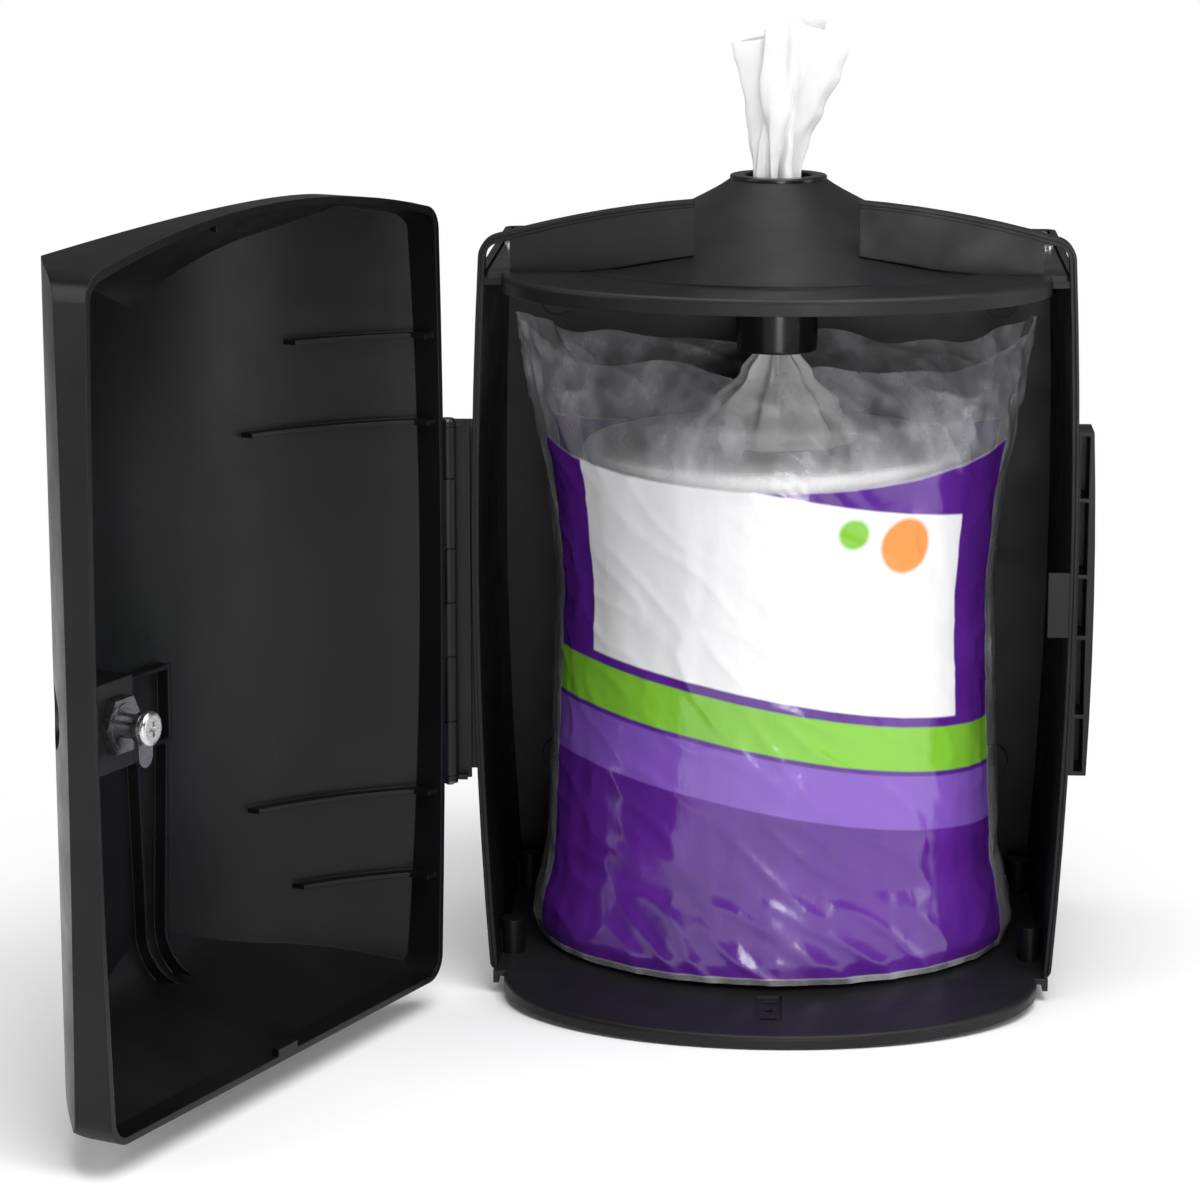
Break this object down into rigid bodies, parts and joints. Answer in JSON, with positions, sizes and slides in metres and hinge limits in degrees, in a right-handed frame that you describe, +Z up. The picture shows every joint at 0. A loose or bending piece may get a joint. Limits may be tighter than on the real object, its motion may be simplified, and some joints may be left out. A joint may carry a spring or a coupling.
{
  "type": "wall-mounted wipes dispenser",
  "caption": "Wall-mounted centre-pull dispenser: shell with bell hood and nozzle, base tray, bagged roll of wipes and a hinged front door with cam lock.",
  "frame": {"origin": "centre of the four wall-screw holes, in the plane of the wall", "axes": "+Z up, +X to the right seen from the front, +Y into the wall"},
  "size_m": [0.379, 0.3795, 0.388],
  "materials": {
    "housing_black": "satin moulded",
    "hood_black": "fine-grained, satin on the rounded lip",
    "nozzle_black": "semi-gloss",
    "door_black": "satin moulded",
    "wipe_fabric": "soft nonwoven",
    "bag_film": "clear printed film",
    "screw_steel": "zinc plated",
    "pin_steel": "blackened",
    "lock_metal": "dark plated"
  },
  "bodies": {
    "case": {"rear_housing": "housing_black", "top_hood": "hood_black", "nozzle_tube": "nozzle_black", "nozzle_ring": "nozzle_black", "base_tray": "hood_black", "hood_screws": "screw_steel", "tray_screws": "screw_steel", "hinge_bracket": "housing_black", "hinge_pin": "pin_steel", "pin_clip": "pin_steel", "wipes_roll": "wipe_fabric", "refill_bag": "bag_film", "wipe_strand": "wipe_fabric"},
    "door": {"front_door": "door_black", "lock_barrel": "lock_metal", "lock_nut": "lock_metal"},
    "lock": {"lock_plug": "lock_metal", "lock_cam": "screw_steel", "cam_washer": "screw_steel", "cam_screw": "screw_steel"}
  },
  "joints": [
    {"name": "door_hinge", "type": "hinge", "parent": "case", "child": "door", "pos_m": [-0.128, -0.154, 0], "axis": [0, 0, 1], "range_deg": [-30, 115]},
    {"name": "lock_turn", "type": "hinge", "parent": "door", "child": "lock", "pos_m": [-0.21989, -0.36052, 0], "axis": [-0.9063, 0.4226, 0], "range_deg": [0, 90]}
  ]
}
